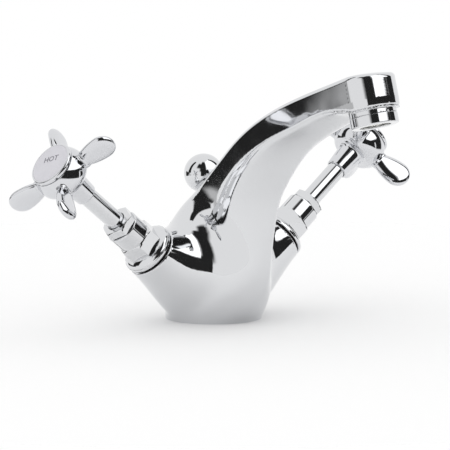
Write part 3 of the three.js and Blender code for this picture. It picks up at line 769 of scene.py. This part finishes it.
# Drawn stainless bar, drawn lengthways, so its polish is a little softer than plate.
steel = metal("drawn_stainless_steel", "#b9babc", 0.2, 0.12, 0.02, 3)
rod_foot, rod_top = rod_low[2] / mm, rod_high[2] / mm
rod = piece_from("waste_lift_rod", *turned_shape([
    (0, rod_foot, 0),
    (rod_radius, rod_foot, 0.5),
    (rod_radius, rod_top, 0.4),
    (0, rod_top, 0),
], segments=48), steel, rod_place)
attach(rod, "lift_rod")
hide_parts("lift_rod")

socket = rod_radius + play
ball_steps = 60
ball_start = math.asin(neck_radius / knob_radius)
knob_outline = [
    (0, rod_top + play, 0),
    (socket, rod_top + play, 0),
    (socket, neck_foot, 0.2),
    (neck_radius, neck_foot, 0.4),
    (neck_radius, knob_middle - knob_radius * math.cos(ball_start), 0.5),
]
for i in range(1, ball_steps):
    turn = ball_start + (math.pi - ball_start) * i / ball_steps
    out, up = knob_radius * math.sin(turn), knob_middle - knob_radius * math.cos(turn)
    knob_outline.append((out, up, 3))
knob_outline.append((0, knob_middle + knob_radius, 0))
knob = piece_from("waste_lift_ball", *turned_shape(knob_outline), trim_chrome, rod_place)
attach(knob, "lift_rod")
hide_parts("lift_knob")
finish_cad("rod_bush", plastic)

# ---------------------------------------------------------------- valve bodies
# Each ceramic-disc valve has a brass body, turned from hexagon bar and chromed, that screws into
# its arm on a fibre washer. A gland nut closes it and squeezes a rubber packing onto the spindle.
def valve_place(side):
    """From a valve's own frame, with z outward along its stem, to the tap's."""
    return Matrix.Translation((0, 0, valve_datum * mm)) @ Matrix.Rotation(
        side * (math.pi / 2 - valve_lean), 4, "Y")


# Heights along a valve are measured outward along its stem from the middle plane of the tap.
flange_foot, hex_foot, hex_top, barrel_top = 54.2, 58.6, 67, 76.2
flange_radius, lip_half = 13.8, 0.9
dome_radius, dome_foot, dome_high = 13.5, 55.6, 4.4
hex_flats = 18.4
barrel_radius = 9
shank_radius, shank_middle, shank_half = 9.7, 46, 9.4
disc_chamber, chamber_roof = 8.6, 51.1
stem_bore = 5.15
packing_bore, packing_floor = 7.1, 69.5
window_half_wide, window_half_high = 4.5, 2


def hexagon(x, y, z, flats, top, chamfer):
    """A hexagon bar with its top corners turned off at 30 degrees."""
    flat = np.maximum(np.abs(y), np.abs(y / 2 + x * math.sin(math.pi / 3)))
    flat = np.maximum(flat, np.abs(y / 2 - x * math.sin(math.pi / 3))) - flats / 2
    lean = math.radians(30)
    cone = (np.hypot(x, y) - flats / 2 + chamfer) * math.sin(lean) + (z - top) * math.cos(lean)
    return rounded_max(rounded_max(flat, cone, 0.25), z - top, 0.2)


def bonnet(x, y, z):
    """The valve body, with two windows through its disc chamber for the water."""
    off = np.hypot(x, y)
    lip = rounded_max(off - flange_radius, np.abs(z - flange_foot - lip_half) - lip_half, 0.4)
    crown = (np.hypot(off / dome_radius, (z - dome_foot) / dome_high) - 1) * dome_high
    crown = rounded_max(crown, flange_foot + 0.5 - z, 0.2)
    shape = np.minimum(lip, rounded_max(crown, z - hex_foot - 0.6, 0.2))
    flats = hexagon(x, y, z, hex_flats, hex_top, 0.2)
    shape = np.minimum(shape, np.maximum(flats, hex_foot - 1 - z))
    barrel = rounded_max(off - barrel_radius, z - barrel_top, 0.5)
    shape = np.minimum(shape, np.maximum(barrel, hex_foot - z))
    shank = np.maximum(off - shank_radius, np.abs(z - shank_middle) - shank_half)
    shape = np.minimum(shape, shank)
    shape = np.maximum(shape, -np.maximum(off - disc_chamber, z - chamber_roof))
    shape = np.maximum(shape, stem_bore - off)
    shape = np.maximum(shape, -np.maximum(off - packing_bore, packing_floor - z))
    window = np.abs(z - disc_recess_middle) - window_half_high
    window = np.maximum(np.abs(x) - window_half_wide, window)
    return np.maximum(shape, -window + 0 * y)


gland_foot, gland_top = 76.5, 81
gland_flats = 15.6
spigot_radius, spigot_middle, spigot_half = 6.8, 75.5, 1.8
valve_step, gland_step = 0.5, 0.4


def gland_nut(x, y, z):
    """A hexagon head, and a spigot below it that presses on the packing."""
    off = np.hypot(x, y)
    head = rounded_max(hexagon(x, y, z, gland_flats, gland_top, 0.3), gland_foot - z, 0.25)
    spigot = rounded_max(off - spigot_radius, np.abs(z - spigot_middle) - spigot_half, 0.2)
    return rounded_max(np.minimum(head, spigot), stem_bore - off, 0.3)


# Vulcanised fibre, matt. Its own colour is darkened to near black as painted shade, so the line it shows between
# casting and valve stands in for the shadow in that gap.
fibre = soft_material("vulcanised_fibre_with_painted_gap_shade", "#2a2625", 0.8, 0.3, 0.02, 0.3)
# Sintered alumina discs, lapped flat: white with a soft even sheen.
ceramic = soft_material("lapped_alumina", "#f0eee8", 0.2, 0.15, 0.002, 0.04)
bonnet_parts = skin(bonnet, grid((-14.5, -14.5, 36), (14.5, 14.5, 77), valve_step))
gland_parts = skin(gland_nut, grid((-9.6, -9.6, 73), (9.6, 9.6, 81.6), gland_step))
for side, label in ((-1, "hot"), (1, "cold")):
    for kind, shape in (("bonnet", bonnet_parts), ("gland_nut", gland_parts)):
        made = piece_from(f"{label}_valve_{kind}", *shape, trim_chrome, valve_place(side))
        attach(made, "tap_body")
        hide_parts(f"{label}_{kind}")
    # The joint washer's fibre is darkened as painted shade for the gap between arm and valve.
    finish_cad(f"{label}_joint_washer", fibre)
    finish_cad(f"{label}_gland_packing", rubber)
    finish_cad(f"{label}_seat_seal", rubber)
    finish_cad(f"{label}_lower_disc", ceramic)
    finish_cad(f"{label}_upper_disc", ceramic)

# ---------------------------------------------------------------- spindles and handles
# The spindle turns the upper ceramic disc and carries the crosshead on a square. The crosshead is
# cast in one piece, with four paddles, chromed, and held by a screw under its index.
stem_radius, stem_middle, stem_half = 4.85, 84, 34
head_radius, head_middle, head_half = 8.2, 49.55, 1.25
neck_thin, neck_middle, neck_half = 3.2, 47.5, 2.8
tang_half_wide, tang_half_thick, tang_middle, tang_half = 5.5, 1.4, 44.5, 1.4
square_foot, spindle_top = 118, 124
drive_square = 6.2
screw_bore, screw_bore_foot = 2.2, 116.2


def spindle(x, y, z):
    """The stem with its head, the tang that turns the upper disc, and the drive square."""
    off = np.hypot(x, y)
    shaft = np.maximum(off - stem_radius, np.abs(z - stem_middle) - stem_half)
    head = rounded_max(off - head_radius, np.abs(z - head_middle) - head_half, 0.2)
    neck = np.maximum(off - neck_thin, np.abs(z - neck_middle) - neck_half)
    tang = np.maximum(np.abs(x) - tang_half_wide, np.abs(y) - tang_half_thick)
    tang = np.maximum(tang, np.abs(z - tang_middle) - tang_half)
    square = rounded_max(np.maximum(np.abs(x), np.abs(y)) - drive_square / 2, z - spindle_top, 0.4)
    square = np.maximum(square, square_foot - 1 - z)
    shape = np.minimum(np.minimum(shaft, head), np.minimum(neck, tang))
    screw_hole = np.maximum(off - screw_bore, screw_bore_foot - z)
    return np.maximum(np.minimum(shape, square), -screw_hole)


skirt_foot, hub_foot, hub_middle, web_top, hub_top = 105, 117.6, 124, 126.2, 131.2
skirt_foot_radius, skirt_top_radius = 5.9, 7.1
hub_foot_radius, hub_radius, hub_top_radius = 10.5, 14.2, 12.1
cap_bore = 8.4
root_reach, root_high, root_thick = 14.9, 9.6, 5.8
root_round, root_end_round, root_sunk = 2.6, 0.5, 1.5
paddle_thick = 5
swell_power = 2.1
tip_radius, tip_reach = 6.9, 32.5
waist_radius, waist_reach = 4.7, 14.6
pillow = 5
handle_step = 0.5


def paddle(out, across, up):
    """One paddle, seen along the stem as a rounded outline that swells to its thickness."""
    run = tip_reach - tip_radius - waist_reach
    back = np.clip(tip_reach - tip_radius - out, 0, None) / run
    high = tip_radius - (tip_radius - waist_radius) * back * back
    slope = 2 * (tip_radius - waist_radius) * back / run
    flank = (np.abs(up) - high) / np.sqrt(1 + slope * slope)
    tip = np.hypot(out - tip_reach + tip_radius, up) - tip_radius
    outline = np.where(back > 0, flank, tip)
    rim = np.clip(1 + outline / pillow, 0, None)
    thick = np.abs(across) * 2 / paddle_thick
    swell = (rim ** swell_power + thick ** swell_power) ** (1 / swell_power)
    return np.maximum((swell - 1) * paddle_thick / 2, root_reach - root_sunk - out)


def crosshead(x, y, z):
    """Skirt, barrel hub and four paddles on collars, bored for stem, square, screw and cap."""
    off = np.hypot(x, y)
    up = z - hub_middle
    rise = np.clip((z - skirt_foot) / (hub_foot - skirt_foot), 0, 1)
    skirt = off - skirt_foot_radius - (skirt_top_radius - skirt_foot_radius) * rise
    skirt_ends = np.abs(z - (skirt_foot + hub_middle) / 2) - (hub_middle - skirt_foot) / 2
    skirt = rounded_max(skirt, skirt_ends, 0.5)
    below = np.clip(-up / (hub_middle - hub_foot), 0, 1) ** 2 * (hub_radius - hub_foot_radius)
    above = np.clip(up / (hub_top - hub_middle), 0, 1) ** 2 * (hub_radius - hub_top_radius)
    hub = rounded_max(off - hub_radius + below + above, hub_foot - z, 0.5)
    hub = rounded_max(hub, z - hub_top, 0.3)
    body = blended_min(hub, skirt, 2)
    one, two = (x + y) / math.sqrt(2), (x - y) / math.sqrt(2)
    for along, across in ((np.abs(one), two), (np.abs(two), one)):
        root = rounded_max(
            np.abs(across) - root_thick / 2, np.abs(up) - root_high / 2, root_round,
        )
        root = rounded_max(root, along - root_reach, root_end_round)
        body = blended_min(body, root, 1)
        body = np.minimum(body, paddle(along, across, up))
    body = np.maximum(body, -np.maximum(off - stem_bore, z - square_foot - play))
    socket = np.maximum(np.abs(x), np.abs(y)) - drive_square / 2 - play
    body = np.maximum(body, -np.maximum(socket, z - spindle_top - play))
    body = np.maximum(body, screw_bore - off + 0 * z)
    return np.maximum(body, -np.maximum(off - cap_bore, web_top - z))


cap_foot, cap_top = 131.5, 133.6
cap_radius = 12.2
cap_rim = 1.3
index_foot = 132.3
index_crown, index_edge_crown = 0.2, 0.15
cap_web_foot, cap_web_top = index_foot - 1.2, index_foot - 0.3
spigot_outer = 8.1
spigot_inner = 6.9
spigot_deep = 2.6
screw_long, screw_head_rise = 9, 2.9
screw_seat = web_top + play
screw_foot, screw_top = screw_seat - screw_long, web_top + screw_head_rise
screw_radius, screw_head_radius = 1.9, 3.9
cap_outline = [
    (0, cap_web_foot, 0),
    (spigot_inner, cap_web_foot, 0.1),
    (spigot_inner, cap_foot - spigot_deep, 0.2),
    (spigot_outer, cap_foot - spigot_deep, 0.2),
    (spigot_outer, cap_foot, 0.1),
    (cap_radius, cap_foot, 0.4),
    (cap_radius, cap_top, 1.1),
    (cap_radius - cap_rim, cap_top, 0.06),
    (cap_radius - cap_rim, cap_web_top, 0),
    (0, cap_web_top, 0),
]
index_radius = cap_radius - cap_rim - 0.04
index_outline = [
    (0, index_foot, 0),
    (index_radius, index_foot, 0.1),
    (index_radius, cap_top, 0.06),
    (index_radius * 0.6, cap_top + index_edge_crown, 8),
    (0, cap_top + index_crown, 0),
]
screw_outline = [
    (0, screw_foot, 0),
    (screw_radius, screw_foot, 0.3),
    (screw_radius, screw_seat, 0.1),
    (screw_head_radius, screw_seat, 0.3),
    (screw_head_radius, screw_top, 0.8),
    (0, screw_top, 0),
]
spindle_parts = skin(spindle, grid((-8.8, -8.8, 42.4), (8.8, 8.8, 124.6), handle_step))
crosshead_parts = skin(crosshead, grid((-26, -26, 104.4), (26, 26, 131.8), handle_step))
handle_chrome = metal("chromed_handle_casting", "#dadbde", 0.035, 0.04, 0.015, 8)
# Stove enamel on a pressed disc: pale grey, smooth and slightly glossy.
enamel = soft_material("stove_enamel", "#d3d2d8", 0.22, 0.5, 0.004, 0.05)
# Printed and fired with the enamel: a thin grey film that stands just proud.
ink = soft_material("printed_enamel_ink", "#77757f", 0.35, 0.3, 0.004, 0.2)
letter_size = 4.4
letter_lift = 0.03
letter_deep = 0.05
letter_middle = 2.4
letter_turn = math.radians(-70)


def printed_word(word, name, place):
    """A word as a thin raised film on the crown of the disc, read from the middle of the basin."""
    curve = bpy.data.curves.new(name, "FONT")
    curve.body = word
    curve.size = letter_size * mm
    curve.align_x, curve.align_y = "CENTER", "CENTER"
    curve.extrude = letter_deep / 2 * mm
    curve.resolution_u = 3
    drawn = bpy.data.objects.new(name, curve)
    mesh = bpy.data.meshes.new_from_object(drawn)
    bpy.data.objects.remove(drawn)
    letter_height = cap_top + index_crown + letter_lift
    mesh.transform(Matrix.Translation((0, letter_middle * mm, letter_height * mm)))
    mesh.transform(Matrix.Rotation(letter_turn, 4, "Z"))
    mesh.transform(place)
    mesh.materials.clear()
    mesh.materials.append(ink)
    made = bpy.data.objects.new(name, mesh)
    scene.collection.objects.link(made)
    return made


screw_parts = turned_shape(screw_outline, segments=48)
for side, label in ((-1, "hot"), (1, "cold")):
    place = valve_place(side)
    for kind, node_name, shape, material, slot_name in (
        ("valve_spindle", "spindle", spindle_parts, trim_chrome, "trim_chrome"),
        ("cross_handle", "crosshead", crosshead_parts, handle_chrome, "handle_chrome"),
        ("handle_fixing_screw", "handle_screw", screw_parts, steel, "steel"),
        ("index_rim", "index_cap", turned_shape(cap_outline), handle_chrome, "handle_chrome"),
        ("index_plate", "index_disc", turned_shape(index_outline), enamel, "index_enamel"),
    ):
        made = piece_from(f"{label}_{kind}", *shape, material, place)
        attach(made, f"{label}_handle")
        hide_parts(f"{label}_{node_name}")
    word = printed_word(label.upper(), f"{label}_index_word", place)
    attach(word, f"{label}_handle")
